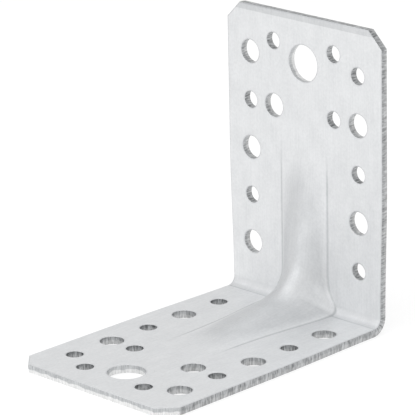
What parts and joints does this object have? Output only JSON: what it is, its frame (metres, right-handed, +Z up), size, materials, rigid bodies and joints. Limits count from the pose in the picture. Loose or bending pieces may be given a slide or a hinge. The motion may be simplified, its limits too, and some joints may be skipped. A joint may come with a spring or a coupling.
{
  "type": "reinforced angle bracket",
  "caption": "Folded and perforated steel angle bracket with two equal legs and a stiffening rib pressed through the fold.",
  "frame": {"origin": "middle of the bounding box in X and Y, on the underside of the foot leg in Z", "axes": "+X along the width, +Y towards the back face of the upright leg, +Z up along the upright leg; the foot leg reaches to -Y"},
  "size_m": [0.06, 0.09, 0.09],
  "materials": {
    "zinc_coated_steel": "zinc coated sheet, fine rolling grain, satin"
  },
  "bodies": {
    "root": {"bracket": "zinc_coated_steel"}
  },
  "joints": []
}
